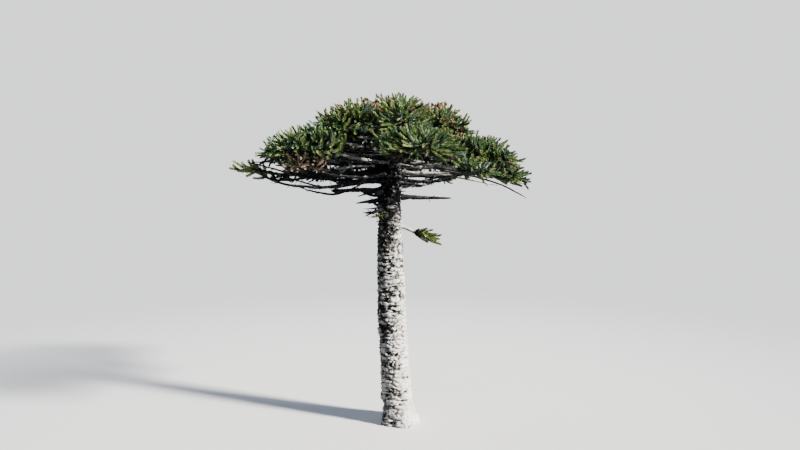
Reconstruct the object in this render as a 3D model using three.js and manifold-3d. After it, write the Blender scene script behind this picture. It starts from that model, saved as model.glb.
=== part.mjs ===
// An old monkey puzzle tree (Araucaria araucana) with a parasol crown, in millimetres, +Z up.
// The origin is the middle of the flat cut under the trunk, at ground level, and +X is the side where
// the crown droops lowest. Azimuths are degrees about the trunk, from +X towards +Y.
import * as THREE from "three";
import { mergeVertices } from "three/addons/utils/BufferGeometryUtils.js";
import Module from "manifold-3d";

const wasm = await Module();
wasm.setup();

// Driving dimensions
const TRUNK_TOP = 11650;
const FLARE = 175; // how far the roots spread the trunk at the ground
const FLARE_HEIGHT = 420; // the height in which the flare falls to a third
const FLARE_TOES = 5;
const GAP = 0.5; // between solids that touch
const BOUGH_SIDES = 6;
const BOUGH_STEP = 1250; // length of a bough's straight stretches
const TRUNK_SIDES = 18;
const TRUNK_STEPS = 11;
const COARSE = 2; // detail of the surface of a mass that is small or at the back
const FINE = 3; // detail of a large one's at the front
const UNDERSIDE = 0.7; // a mass's depth below its middle, as a share of its depth above
const UNEVENNESS = 0.12; // how far a mass's surface swells and shrinks, as a share of its size

// The trunk leans a little, then stands upright, and tapers fast inside the crown.
const TRUNK_STATIONS = [
  { height: 0, offset: 0, radius: 545 },
  { height: 1600, offset: -140, radius: 545 },
  { height: 4000, offset: -290, radius: 530 },
  { height: 6400, offset: -335, radius: 485 },
  { height: 7600, offset: -365, radius: 430 },
  { height: 8700, offset: -320, radius: 405 },
  { height: 9900, offset: -290, radius: 290 },
  { height: 10900, offset: -260, radius: 165 },
  { height: TRUNK_TOP, offset: -240, radius: 60 },
];

// The crown is three tiers of foliage and a cap over the trunk's tip. In each tier a mass lies at
// an azimuth, with its middle at a reach from the trunk and a height, and has a half length away
// from the trunk, a half breadth across, a half depth, and a droop of its outer end in degrees.
// Its bough leaves the trunk at the root height, and sags before it rises into the mass.
const CAP = { height: 11380, length: 1380, breadth: 1300, depth: 745, seed: 3 };
const DOME = {
  count: 7,
  firstAzimuth: 22,
  reach: 1980,
  height: 10930,
  length: 1130,
  breadth: 1030,
  depth: 740,
  droop: 14,
  tilt: 0.01,
  rootHeight: 10380,
  rootStep: 75,
  sag: 60,
  rootRadius: 60,
};
const RING = {
  azimuths: [8, 46, 82, 116, 150, 184, 222, 285, 324],
  reach: 3620,
  height: 9860,
  length: 1290,
  breadth: 1290,
  depth: 720,
  droop: 15,
  tilt: 0.055,
  rootHeight: 9600,
  rootStep: 120,
  sag: 130,
  rootRadius: 76,
};
const REACHING = [
  { name: "left_reach", azimuth: 178, reach: 5270, height: 9420, length: 690, breadth: 620,
    depth: 370, droop: -6, rootHeight: 9180, sag: 560, bend: 0.7, rootRadius: 84, detail: COARSE },
  { name: "right_droop", azimuth: 358, reach: 4170, height: 9290, length: 960, breadth: 980,
    depth: 620, droop: 27, rootHeight: 9330, sag: 60, rootRadius: 88, detail: COARSE },
  { name: "back_right", azimuth: 64, reach: 4700, height: 9260, length: 820, breadth: 880,
    depth: 480, droop: 14, rootHeight: 9120, sag: 330, rootRadius: 82, detail: COARSE },
  { name: "back_left", azimuth: 133, reach: 4620, height: 9420, length: 860, breadth: 880,
    depth: 480, droop: 12, rootHeight: 9330, sag: 380, rootRadius: 84, detail: COARSE },
  { name: "front_right", azimuth: 304, reach: 4460, height: 9180, length: 840, breadth: 860,
    depth: 450, droop: 14, rootHeight: 9180, sag: 280, rootRadius: 82, detail: COARSE },
  { name: "brown", azimuth: 231, reach: 4330, height: 9380, length: 760, breadth: 740,
    depth: 430, droop: 10, rootHeight: 9260, sag: 260, rootRadius: 76, detail: COARSE },
];

// A last live branch hangs below the crown, with one tuft.
const LOW_BRANCH = {
  name: "low", azimuth: 352, reach: 1430, height: 6900, length: 590, breadth: 430, depth: 290,
  droop: 24, rootHeight: 7560, sag: 20, rootRadius: 40, detail: COARSE,
};

// Dead limbs keep no foliage: length is from the trunk's middle, and rise is that of the tip.
const DEAD_LIMBS = [
  { name: "left_long", azimuth: 187, rootHeight: 8700, length: 2200, rise: -70, radii: [70, 52] },
  { name: "left_upper", azimuth: 206, rootHeight: 9000, length: 2150, rise: -110, radii: [58, 30] },
  { name: "left_ragged", azimuth: 176, rootHeight: 8380, length: 1290, rise: -210, radii: [78, 16] },
  { name: "left_low", azimuth: 188, rootHeight: 7930, length: 1020, rise: -110, radii: [56, 10] },
  { name: "front_mossy", azimuth: 238, rootHeight: 7830, length: 1150, rise: -130, radii: [34, 12] },
  { name: "right_long", azimuth: 1, rootHeight: 8420, length: 2270, rise: -50, radii: [58, 14] },
  { name: "right_upper", azimuth: 342, rootHeight: 8960, length: 1250, rise: -160, radii: [52, 22] },
  { name: "right_broken", azimuth: 20, rootHeight: 8770, length: 980, rise: 150, radii: [46, 18] },
  { name: "back", azimuth: 95, rootHeight: 8560, length: 1500, rise: -60, radii: [60, 24] },
];

const BARK_GREY = new THREE.MeshStandardMaterial({ color: 0xb3aea6, roughness: 0.95, metalness: 0 });
const BOUGH_GREY = new THREE.MeshStandardMaterial({ color: 0x8d8780, roughness: 0.9, metalness: 0 });
const DEAD_GREY = new THREE.MeshStandardMaterial({ color: 0x6f6860, roughness: 0.95, metalness: 0 });
const LEAF_GREEN = new THREE.MeshStandardMaterial({ color: 0x4d5f2c, roughness: 0.6, metalness: 0 });
const LEAF_BROWN = new THREE.MeshStandardMaterial({ color: 0x8a6a45, roughness: 0.8, metalness: 0 });

const profile = new THREE.CubicInterpolant(
  TRUNK_STATIONS.map((s) => s.height),
  TRUNK_STATIONS.flatMap((s) => [s.offset, s.radius]),
  2,
);

// The middle of the trunk at a height.
function trunkMiddle(height) {
  const [offset] = profile.evaluate(height);
  return new THREE.Vector3(offset, 0, height);
}

// The direction away from the trunk at an azimuth.
function outward(azimuth) {
  const angle = THREE.MathUtils.degToRad(azimuth);
  return new THREE.Vector3(Math.cos(angle), Math.sin(angle), 0);
}

// A geometry as a solid.
function solidOf(geometry) {
  const bare = geometry.clone();
  bare.deleteAttribute("normal");
  bare.deleteAttribute("uv");
  const merged = mergeVertices(bare, 1e-3);
  return new wasm.Manifold(
    new wasm.Mesh({
      numProp: 3,
      vertProperties: merged.attributes.position.array,
      triVerts: new Uint32Array(merged.index.array),
    }),
  );
}

// A solid as a geometry.
function geometryOf(solid) {
  const mesh = solid.getMesh();
  return new THREE.BufferGeometry()
    .setAttribute("position", new THREE.BufferAttribute(mesh.vertProperties, 3))
    .setIndex(new THREE.BufferAttribute(mesh.triVerts, 1));
}

// The largest of the bodies that a cut leaves.
function largestBody(solid) {
  return solid.decompose().reduce((a, b) => (a.volume() > b.volume() ? a : b));
}

// Moves every vertex of a geometry to where place puts it.
function reshape(geometry, place) {
  const positions = geometry.getAttribute("position");
  const at = new THREE.Vector3();
  for (let i = 0; i < positions.count; i++) {
    at.fromBufferAttribute(positions, i);
    const moved = place(at);
    positions.setXYZ(i, moved.x, moved.y, moved.z);
  }
  return geometry;
}

// The trunk, whose rings are level, so that the cut at the ground is flat.
function trunkSolid(grow) {
  const column = new THREE.CylinderGeometry(1, 1, 1, TRUNK_SIDES, TRUNK_STEPS);
  const shape = reshape(column, (at) => {
    const height = TRUNK_TOP * (at.y + 0.5) ** 1.15; // shorter steps near the ground
    const [offset, radius] = profile.evaluate(height);
    const angle = Math.atan2(-at.z, at.x);
    const toes = 1 + 0.35 * Math.cos(FLARE_TOES * angle);
    const spread = FLARE * Math.exp(-height / FLARE_HEIGHT) * toes;
    const wide = Math.hypot(at.x, at.z) * (radius + spread + grow);
    return new THREE.Vector3(offset + wide * Math.cos(angle), wide * Math.sin(angle), height);
  });
  return solidOf(shape);
}

// One tapering limb along a curve.
function limbSolid(curve, startRadius, endRadius, grow) {
  const steps = Math.max(2, Math.round(curve.getLength() / BOUGH_STEP));
  const tube = new THREE.CylinderGeometry(1, 1, 1, BOUGH_SIDES, steps);
  const frames = curve.computeFrenetFrames(steps);
  const shape = reshape(tube, (at) => {
    const share = at.y + 0.5;
    const ring = Math.round(share * steps);
    const radius = THREE.MathUtils.lerp(startRadius, endRadius, share) + grow;
    const side = frames.normals[ring].clone();
    const across = side.clone().cross(frames.tangents[ring]);
    return curve
      .getPointAt(share)
      .addScaledVector(side, at.x * radius)
      .addScaledVector(across, at.z * radius);
  });
  return solidOf(shape);
}

// The curve of a limb from the trunk's middle to its tip. It sags by sag, the most at bendShare.
function limbCurve(rootHeight, tip, sag, bendShare = 0.55) {
  const start = trunkMiddle(rootHeight);
  const bend = start.clone().lerp(tip, bendShare);
  bend.z -= 2 * sag;
  return new THREE.QuadraticBezierCurve3(start, bend, tip);
}

// A mass of foliage: an uneven closed lump, flatter below, turned to face away from the trunk.
function massSolid(mass, grow) {
  const ball = new THREE.IcosahedronGeometry(1, mass.detail);
  const middle = massMiddle(mass);
  const turn = new THREE.Matrix4().makeRotationZ(THREE.MathUtils.degToRad(mass.azimuth));
  turn.multiply(new THREE.Matrix4().makeRotationY(THREE.MathUtils.degToRad(mass.droop)));
  const shape = reshape(ball, (at) => {
    const way = at.clone().normalize();
    const size = 1 + UNEVENNESS * lumps(way, mass.seed);
    const depth = way.z > 0 ? mass.depth : mass.depth * UNDERSIDE;
    const local = new THREE.Vector3(way.x * mass.length, way.y * mass.breadth, way.z * depth);
    local.multiplyScalar(size);
    local.setLength(local.length() + grow);
    return local.applyMatrix4(turn).add(middle);
  });
  return solidOf(shape);
}

// Swells and hollows over a ball, from -1 to 1, different for each seed.
function lumps(way, seed) {
  const broad = Math.sin(2.3 * way.x + 1.7 * seed) * Math.cos(2.9 * way.y - 2.1 * seed);
  const small = Math.sin(6.1 * way.x - 3.3 * way.z + seed) * Math.sin(5.7 * way.y + 2.9 * seed);
  return 0.55 * broad + 0.75 * small;
}

// The middle of a mass, out from the trunk. A tilted tier sits higher on its -X side.
function massMiddle(mass) {
  const middle = trunkMiddle(mass.height).addScaledVector(outward(mass.azimuth), mass.reach);
  middle.z -= (mass.tilt ?? 0) * middle.x;
  return middle;
}

// Every mass of the crown with its own place, size and seed.
function crownMasses() {
  const cap = { ...CAP, name: "cap", azimuth: 0, reach: 0, droop: 0, detail: COARSE };
  const dome = Array.from({ length: DOME.count }, (_, i) => ({
    ...DOME,
    name: "dome_" + (i + 1),
    azimuth: DOME.firstAzimuth + (360 / DOME.count) * i,
    rootHeight: DOME.rootHeight + DOME.rootStep * ((i * 3) % 4),
    reach: DOME.reach + 60 * Math.cos(2.4 * i),
    height: DOME.height + 50 * Math.sin(3.1 * i),
    detail: COARSE,
    seed: 10 + i,
  }));
  const ring = RING.azimuths.map((azimuth, i) => ({
    ...RING,
    name: "ring_" + (i + 1),
    azimuth,
    rootHeight: RING.rootHeight + RING.rootStep * ((i * 3) % 5),
    reach: RING.reach + 130 * Math.sin(2.7 * i - 1.5),
    height: RING.height + 70 * Math.sin(1.9 * i + 0.6),
    detail: outward(azimuth).y > 0 ? COARSE : FINE,
    seed: 30 + i,
  }));
  const reaching = REACHING.map((mass, i) => ({ ...mass, seed: 50 + i }));
  return [cap, ...dome, ...ring, ...reaching, { ...LOW_BRANCH, seed: 61 }];
}

const tree = new THREE.Group();

// Adds a solid to the tree as a named mesh.
function add(name, solid, material) {
  const mesh = new THREE.Mesh(geometryOf(solid), material);
  mesh.name = name;
  tree.add(mesh);
}

const trunkRoom = trunkSolid(GAP);
add("trunk", trunkSolid(0), BARK_GREY);

const masses = crownMasses();
const limbRooms = []; // the room that each limb takes, with its gap
for (const mass of masses.filter((m) => m.rootRadius)) {
  const curve = limbCurve(mass.rootHeight, massMiddle(mass), mass.sag, mass.bend);
  const endRadius = 0.42 * mass.rootRadius;
  const whole = limbSolid(curve, mass.rootRadius, endRadius, 0);
  const cut = whole.subtract(trunkRoom).subtract(massSolid(mass, GAP));
  add("bough_" + mass.name, largestBody(cut), BOUGH_GREY);
  limbRooms.push({ mass, room: limbSolid(curve, mass.rootRadius, endRadius, GAP) });
}

for (const limb of DEAD_LIMBS) {
  const tip = trunkMiddle(limb.rootHeight).addScaledVector(outward(limb.azimuth), limb.length);
  tip.z += limb.rise;
  const curve = limbCurve(limb.rootHeight, tip, 0);
  const whole = limbSolid(curve, limb.radii[0], limb.radii[1], 0);
  add("dead_limb_" + limb.name, largestBody(whole.subtract(trunkRoom)), DEAD_GREY);
}

// Each mass is cut round the trunk, the other masses' boughs and the masses made before it.
const massRooms = [];
for (const mass of masses) {
  let solid = massSolid(mass, 0).subtract(trunkRoom);
  for (const limb of limbRooms.filter((l) => l.mass !== mass)) solid = solid.subtract(limb.room);
  for (const room of massRooms) solid = solid.subtract(room);
  add("foliage_" + mass.name, largestBody(solid), mass.name === "brown" ? LEAF_BROWN : LEAF_GREEN);
  massRooms.push(massSolid(mass, GAP));
}

export default tree;
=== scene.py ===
import itertools
import math

import bpy
import numpy as np
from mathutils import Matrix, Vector
from mathutils.bvhtree import BVHTree


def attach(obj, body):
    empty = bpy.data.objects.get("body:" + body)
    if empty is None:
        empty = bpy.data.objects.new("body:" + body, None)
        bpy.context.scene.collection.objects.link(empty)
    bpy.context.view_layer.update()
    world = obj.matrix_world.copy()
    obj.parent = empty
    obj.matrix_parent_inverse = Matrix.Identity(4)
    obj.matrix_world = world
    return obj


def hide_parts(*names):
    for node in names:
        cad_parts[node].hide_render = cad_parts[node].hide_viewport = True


# An old monkey puzzle tree: a tall trunk in knobbly bark, level bare boughs, and a parasol crown of
# shoots like ropes, set all round with stiff leaves. Lengths are in metres.

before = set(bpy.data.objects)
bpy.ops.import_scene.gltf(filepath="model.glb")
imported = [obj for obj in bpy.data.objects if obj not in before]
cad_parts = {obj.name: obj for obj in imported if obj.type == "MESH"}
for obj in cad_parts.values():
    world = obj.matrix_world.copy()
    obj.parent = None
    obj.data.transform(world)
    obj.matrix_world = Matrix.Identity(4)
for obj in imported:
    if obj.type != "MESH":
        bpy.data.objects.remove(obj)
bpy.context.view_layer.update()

SEED = 41
NODES = sorted(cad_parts)
BOUGHS = [n for n in NODES if n.startswith("bough_")]
DEAD_LIMBS = [n for n in NODES if n.startswith("dead_limb_")]
MASSES = [n for n in NODES if n.startswith("foliage_")]

# Trunk
TRUNK_SIDES = 170
TRUNK_RINGS = 580
RIDGE_SIZE = (0.55, 0.55, 0.15)  # of the bark's level ridges, and of the knobs on them
KNOB_SIZE = (0.19, 0.19, 0.118)
ROW_STRAY = (1.0, 1.0, 0.45)  # how far either strays from its place in the rows, as a share of its size
PIT_SIZE = (0.26, 0.26, 0.15)  # the room that one pit has in the bark
BARK_DEPTH = 0.098  # from the deepest crack to the highest knob
PAINTED_SUN_SIDE = 0.17  # painted light and shade: how much paler the bark is towards +X, the sun's side, and darker towards -X
PAINTED_FOOT_LIGHT = 0.21  # painted light: how much paler it is near the ground
PAINTED_HIGH_SHADE = 0.07  # painted shade of the crown: how much darker it is higher up, and how much more at the shaded side there
PAINTED_SHADE_SIDE = 0.09
SHADE_HEIGHT = 7.4  # over this height the crown keeps the trunk dark

# Limbs, and the broken twigs on them
LIMB_FINENESS = (150, 11)  # rings and sides
BARE_FINENESS = (60, 8)
STUB_FINENESS = (7, 6)
ROOT_DEPTH = 0.12  # how deep a limb's root lies in the trunk
END_SKIP = 0.14  # the part of a CAD limb's end that its oblique cut spoils
DEAD_THICKER = 1.6  # how much thicker dead limbs are than their CAD solids
THICKER = {  # what the thickness of some limbs is multiplied by besides
    "bough_low": 2.3,
    "dead_limb_front_mossy": 1.8,
    "dead_limb_right_long": 1.35,
    "dead_limb_left_long": 0.8,
}
MOSSY = "dead_limb_front_mossy"
MOSSY_FORWARDS = 0.12  # how much nearer to the front it is than its CAD solid

# Thin limbs that lost their leaves, in the shade under the crown, and more under its left half
BARE_LIMBS = 50
BARE_LOWEST = 8.95
BARE_RISE = 2.0
BARE_LENGTHS = (0.9, 3.0)
LEFT_LIMBS = 18
LEFT_HEIGHTS = (9.1, 9.8)
LEFT_LENGTHS = (2.4, 4.9)

# What is left of limbs that broke off near the trunk. Every third one is thick, low and at the left
TRUNK_STUBS = 52
STUB_HEIGHTS = (7.6, 10.4)
LOW_STUB_HEIGHTS = (7.95, 8.85)

# Limbs that have no CAD solid, as rows of x, y, z and radius: dark ones under the crown's left half and
# right end, and pale ones nearer the trunk
DARK_LIMBS = [
    [(-1.2, -0.3, 9.62, 0.06), (-2.8, -0.45, 9.32, 0.055), (-4.2, -0.45, 9.22, 0.05),
     (-5.3, -0.3, 9.42, 0.03)],
    [(-1.6, -0.7, 9.45, 0.05), (-3.2, -0.8, 9.12, 0.045), (-4.1, -0.7, 9.0, 0.04),
     (-4.9, -0.6, 9.12, 0.022)],
    [(1.6, -0.4, 9.36, 0.04), (3.1, -0.5, 9.04, 0.032), (4.0, -0.45, 8.7, 0.028), (4.5, -0.4, 8.42, 0.018)],
]
PALE_LIMBS = [
    [(-0.45, -0.4, 9.66, 0.06), (-1.2, -1.2, 9.7, 0.05), (-1.95, -2.2, 9.8, 0.03)],
    [(-0.9, -1.0, 9.5, 0.04), (-1.4, -1.7, 9.46, 0.035), (-2.0, -2.6, 9.3, 0.018)],
    [(0.1, -0.45, 8.74, 0.036), (0.5, -0.6, 8.83, 0.028), (0.84, -0.72, 9.0, 0.014)],
    [(-0.4, -0.45, 10.0, 0.055), (-1.0, -1.3, 10.1, 0.045), (-1.7, -2.3, 10.16, 0.03)],
    [(-0.2, -0.6, 10.33, 0.05), (-0.8, -1.5, 10.4, 0.04), (-1.3, -2.4, 10.36, 0.025)],
    [(0.4, -0.42, 9.62, 0.06), (1.5, -1.0, 9.46, 0.048), (2.6, -1.2, 9.27, 0.032)],
    [(0.36, -0.45, 9.2, 0.055), (1.5, -0.8, 9.18, 0.046), (2.6, -0.9, 9.0, 0.036), (3.4, -0.85, 8.84, 0.02)],
]

# Barks: their colours at three shares of the relief, near black in the cracks partly as their own colour and
# partly as painted shade, their lichen's colour and how rough they are
BARKS = {
    "trunk_bark": (
        [(0.2, (0.016, 0.015, 0.015)), (0.38, (0.26, 0.25, 0.24)), (0.56, (0.92, 0.91, 0.89))],
        (0.86, 0.85, 0.83), 0.02,
    ),
    "bough_bark": (
        [(0.26, (0.01, 0.01, 0.011)), (0.5, (0.1, 0.097, 0.096)), (0.74, (0.8, 0.79, 0.78))],
        (0.42, 0.41, 0.38), 0.012,
    ),
    # Partly the limbs' own pale colour, partly painted light: paler to stand in for sun these limbs miss in
    # the crown's shade
    "pale_bark": (
        [(0.15, (0.16, 0.15, 0.14)), (0.4, (0.55, 0.53, 0.5)), (0.7, (0.85, 0.83, 0.8))],
        (0.8, 0.79, 0.77), 0.008,
    ),
    "dead_wood": (
        [(0.2, (0.009, 0.01, 0.014)), (0.55, (0.03, 0.031, 0.038)), (0.92, (0.13, 0.13, 0.135))],
        (0.08, 0.08, 0.084), 0.012,
    ),
    "moss": (
        [(0.2, (0.018, 0.024, 0.01)), (0.52, (0.11, 0.135, 0.046)), (0.84, (0.31, 0.345, 0.16))],
        (0.34, 0.35, 0.18), 0.008,
    ),
}
# The trunk's colours high up, in the crown's shade
SHADED_STOPS = [(0.52, (0.008, 0.008, 0.009)), (0.66, (0.07, 0.068, 0.068)), (0.75, (0.85, 0.84, 0.83))]
TWIG_COLOUR = (0.125, 0.108, 0.092)
STEM_COLOUR = (0.045, 0.058, 0.022)

# The stem that carries the cap's sprays: how far under the trunk's top, and its radius there
CAP_STEM = [(1.3, 0.16), (0.7, 0.11), (0.3, 0.08), (0.0, 0.05)]

# Shoots and leaves
TIP_SPACING = 0.167
SHOOTS_IN_A_SPRAY = 11
INNER_SHARE = 0.5  # inner shoots, which fill the gaps, for each outer one
# Which way a shoot's tip points, as shares of off its mass, out from the trunk and up: on the underside
# of a mass, and elsewhere, where it also fans out from the middle of its spray
UNDER_AIM = (0.3, 0.9, 0.35)
OUTER_AIM = (0.2, 1.15, 0.72)
FAN_AIM = 0.45
UNDER_DEPTHS = (0.02, 0.2)  # how deep in the mass tips on its underside are, and those of inner shoots
INNER_DEPTHS = (0.22, 0.5)
OUTER_HEIGHTS = (-0.16, 0.13)  # how far out of the mass the other tips are
# Where shoots grow in the shade, outside the masses: each room's middle, half size and number of tips,
# before those in a mass are left out
SHADED_ROOMS = [
    ((-0.2, 0.1, 10.5), (3.4, 3.4, 0.62), 1100),
    ((-4.0, -0.5, 9.17), (0.8, 0.5, 0.3), 46),
]
# The crown's rounded top, on which shoots close the gaps between the masses: its middle, its fall a
# square metre, its radius, and the gap that stays open, as its x, half width and largest y
CROWN_TOP = (-0.3, 0.05, 11.4)
CROWN_FALL = 0.09
CROWN_RADIUS = 4.45
OPEN_GAP = (-1.2, 0.55, -3.2)
# The crown's underside towards +X: its height at the axis, and how it changes with x and y
UNDERSIDE = (10.46, -0.44, 0.084)
UNDERSIDE_FROM = 1.2  # from this x on, no shoot ends below it
UNDERSIDE_BACK = 0.65  # how much lower it is at the back
LEAVES_PER_METRE = 160
LEAF_LENGTH = 0.086
LEAF_WIDTH = 0.037
LEAN_PLACES = (0, 0.05, 0.14)  # how far from the tip, and how many degrees off their shoot, leaves are
LEANS = (20, 28, 34)
STEM_RADIUS = 0.016
CONE_LENGTH = 0.12
CONE_RADIUS = 0.034
GOLDEN_ANGLE = math.radians(137.508)
YEAR_GROWTH = 0.17  # a shoot's leaves are shorter where each year's growth ends

# Leaf colours, linear
LEAF_COLOURS = {
    "deep": (0.02, 0.035, 0.014),
    "mid": (0.08, 0.148, 0.076),
    "fresh": (0.16, 0.29, 0.096),
    "olive": (0.262, 0.335, 0.12),
    "pale": (0.41, 0.47, 0.2),
    "dusty": (0.19, 0.255, 0.205),
    # painted light: a paler green for the left tuft, in place of the sun the crown's shadow keeps from it
    "young": (0.6, 0.68, 0.29),
    "tan": (0.33, 0.24, 0.12),
    "rust": (0.3, 0.145, 0.06),
    "dry": (0.15, 0.098, 0.068),
    "dry_pale": (0.42, 0.325, 0.24),
}
HUE = {name: number for number, name in enumerate(LEAF_COLOURS)}

# What share of the shoots has each colour: usually, in some masses, and where shoots are given a new
# colour near the top, on an underside, or because they bear cones
USUAL_SHARES = {"deep": 0.11, "mid": 0.28, "olive": 0.28, "fresh": 0.2, "dusty": 0.09, "pale": 0.04}
OTHER_SHARES = {
    "foliage_brown": {"dry": 0.47, "dry_pale": 0.45, "deep": 0.08},
    "foliage_low": {"pale": 0.75, "olive": 0.15, "fresh": 0.1},
    # the left tuft is mostly painted sunlit green
    "foliage_left_reach": {"fresh": 0.2, "young": 0.8},
    "foliage_right_droop": {"olive": 0.4, "mid": 0.2, "pale": 0.15, "fresh": 0.15, "dusty": 0.1},
}
HIGH_SHARES = {"olive": 0.5, "fresh": 0.25, "tan": 0.25}
HIGH_FROM = 11.1  # over this height, nearly half the shoots have these
# On undersides and inside the crown: deep green as painted shade, and dry dead leaves
UNDER_SHARES = {"deep": 0.75, "dry": 0.25}
CONE_SHARES = {"rust": 0.35, "tan": 0.35, "olive": 0.3}
LOW_DARK_UNTIL = 0.98  # up to about this x, the low tuft's shoots are deep green

CONE_COLOURS = [(0.17, 0.076, 0.022), (0.115, 0.062, 0.026), (0.235, 0.14, 0.055)]

# The masses whose shoots start far back on the bough and fan out: how far back, the room between tips,
# and how much bigger and more numerous a shoot's leaves are
FANS = {
    "foliage_low": ((0.8, 1.3), 0.155, (1.12, 1.05)),
    "foliage_left_reach": ((0.4, 0.65), 0.22, (1.35, 1)),
    "foliage_right_droop": ((0.6, 0.95), TIP_SPACING, (1.15, 1)),
}

# Where shoots bear cones: the x, y, z and size of each patch
CONE_PATCHES = [
    (-1.2, -0.9, 11.95, 0.46), (-0.5, -1.2, 11.85, 0.36),
    (0.05, -1.7, 11.45, 0.36), (1.2, -1.0, 11.7, 0.42),
    (1.9, -0.9, 11.45, 0.34), (2.35, -0.7, 11.2, 0.32),
    (1.9, -2.2, 10.6, 0.42), (-1.8, -1.5, 11.15, 0.42),
    (-4.9, -0.2, 10.3, 0.25), (1.2, 1.7, 11.45, 0.4),
    (-1.6, 1.6, 11.5, 0.36), (-0.3, 3.4, 10.8, 0.36),
    (3.1, 1.9, 10.4, 0.32), (-3.6, 2.0, 10.6, 0.32),
]

# The backdrop and the floor, as the camera sees them and as they light the tree
BACKDROP = (1.45, 1.47, 1.50)
SKY_LIGHT = (0.15, 0.205, 0.31)
FLOOR = (0.90, 0.90, 0.90)
FLOOR_LIGHT = (0.16, 0.15, 0.13)
FLOOR_FADE = (6, 34)  # from where to where the floor turns into the backdrop
FLOOR_SIZE = 400

# Sunlight from the right, high and low, and a soft light from the back and left: azimuth from the
# camera, height and spread in degrees, and strength
SUNS = [("key", 68, 26.5, 6, 14.3), ("low_key", 74, 8, 8, 2.4), ("fill", 250, 24, 40, 0.85)]
SUN_COLOUR = (1.0, 0.955, 0.88)

CAMERA_PLACE = (0.02, -21.4, 8.3)
CAMERA_DIP = 2.48  # degrees below the level
LENS = 26  # millimetres, on a sensor 36 wide


# Noise and curves

def lattice(cell, seed):
    """A number from 0 to 1 for each whole-numbered cell, always the same for a seed."""
    x, y, z = np.moveaxis(cell, -1, 0)
    mix = (x * 374761393 + y * 668265263 + z * 1440662683 + seed * 974634777) & 0xFFFFFFFF
    mix = ((mix ^ (mix >> 13)) * 1274126177) & 0xFFFFFFFF
    return (mix ^ (mix >> 16)) / 0xFFFFFFFF


def noise(points, seed):
    """Smooth noise from -1 to 1, in cells one wide."""
    cell = np.floor(points).astype(np.int64)
    part = points - cell
    part = part * part * (3 - 2 * part)
    total = 0
    for corner in itertools.product((0, 1), repeat=3):
        weight = np.prod(np.where(np.array(corner) == 1, part, 1 - part), axis=-1)
        total = total + weight * lattice(cell + np.array(corner), seed)
    return 2 * total - 1


def strewn(points, stray, seed):
    """How far the nearest and second nearest of one spot per cell are, and the nearest one's number."""
    base = np.floor(points).astype(np.int64)
    first = np.full(points.shape[:-1], 9.0)
    second = first.copy()
    number = first.copy()
    for offset in itertools.product((-1, 0, 1), repeat=3):
        cell = base + np.array(offset)
        spot = cell + 0.5 + stray * (np.stack([lattice(cell, seed + k) for k in range(3)], -1) - 0.5)
        away = np.linalg.norm(spot - points, axis=-1)
        number = np.where(away < first, lattice(cell, seed + 3), number)
        second = np.minimum(second, np.maximum(first, away))
        first = np.minimum(first, away)
    return first, second, number


def smoothstep(low, high, value):
    part = np.clip((value - low) / (high - low), 0, 1)
    return part * part * (3 - 2 * part)


def unit(vectors):
    return vectors / np.maximum(np.linalg.norm(vectors, axis=-1, keepdims=True), 1e-9)


def level_way(vectors):
    """The level direction of vectors."""
    return unit(vectors * (1, 1, 0))


def full_turn(count):
    """Evenly spaced angles of a full turn."""
    return np.arange(count) * 2 * math.pi / count


def ways_across(along, chord):
    """Two directions square to along and each other, of which the first is level unless chord is steep."""
    helper = np.where(np.abs(chord[..., 2:]) > 0.85, (1.0, 0, 0), (0, 0, 1.0))
    side = unit(np.cross(along, helper))
    return side, np.cross(along, side)


def smooth_through(knots, values, at):
    """A smooth curve through values at knots, read off at other places."""
    slopes = np.gradient(values, knots, axis=0)
    i = np.clip(np.searchsorted(knots, at, side="right") - 1, 0, len(knots) - 2)
    step = (knots[i + 1] - knots[i])[:, None]
    f = (at - knots[i])[:, None] / step
    return (
        (2 * f**3 - 3 * f**2 + 1) * values[i]
        + (f**3 - 2 * f**2 + f) * step * slopes[i]
        + (3 * f**2 - 2 * f**3) * values[i + 1]
        + (f**3 - f**2) * step * slopes[i + 1]
    )


def column(rows, i):
    return np.array([row[i] for row in rows])


def along_path(points):
    """How far along a path each of its points is."""
    steps = np.linalg.norm(np.diff(points[:, :3], axis=0), axis=1)
    return np.concatenate([[0], np.cumsum(steps)])


def even_path(points, count):
    """Evenly spaced rows on the smooth curve through rows of x, y, z and a radius."""
    knots = along_path(points)
    return smooth_through(knots, points, np.linspace(0, knots[-1], count))


def bend(start, turn, end, share):
    """A point on each curve from start to end, pulled towards turn."""
    share = share[..., None]
    return start * (1 - share) ** 2 + 2 * turn * share * (1 - share) + end * share**2


def bend_way(start, turn, end, share):
    """The direction in which such a curve runs there."""
    share = share[..., None]
    return unit((turn - start) * (1 - share) + (end - turn) * share)


# Reading the CAD solids

def cad_mesh(name):
    """The vertices and triangles of a CAD node."""
    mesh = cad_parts[name].data
    mesh.calc_loop_triangles()
    vertices = np.empty(len(mesh.vertices) * 3)
    mesh.vertices.foreach_get("co", vertices)
    triangles = np.empty(len(mesh.loop_triangles) * 3, dtype=np.int32)
    mesh.loop_triangles.foreach_get("vertices", triangles)
    return vertices.reshape(-1, 3), triangles.reshape(-1, 3)


def trunk_rings():
    """The heights of the CAD trunk's rings, and each ring's middle and its radius on each side."""
    vertices, _ = cad_mesh("trunk")
    heights = np.unique(vertices[:, 2].round(3))
    angles = full_turn(TRUNK_SIDES)
    rows = []
    for height in heights:
        ring = vertices[np.abs(vertices[:, 2] - height) < 0.002][:, :2]
        middle = (ring.min(0) + ring.max(0)) / 2
        away = ring - middle
        away = np.unique(away[np.hypot(*away.T) > 0.01].round(4), axis=0)
        angle = np.arctan2(away[:, 1], away[:, 0]) % (2 * math.pi)
        radius = np.interp(angles, angle, np.hypot(*away.T), period=2 * math.pi)
        rows.append(np.concatenate([middle, radius]))
    return heights, np.array(rows)


TRUNK_HEIGHTS, TRUNK_ROWS = trunk_rings()


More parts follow.
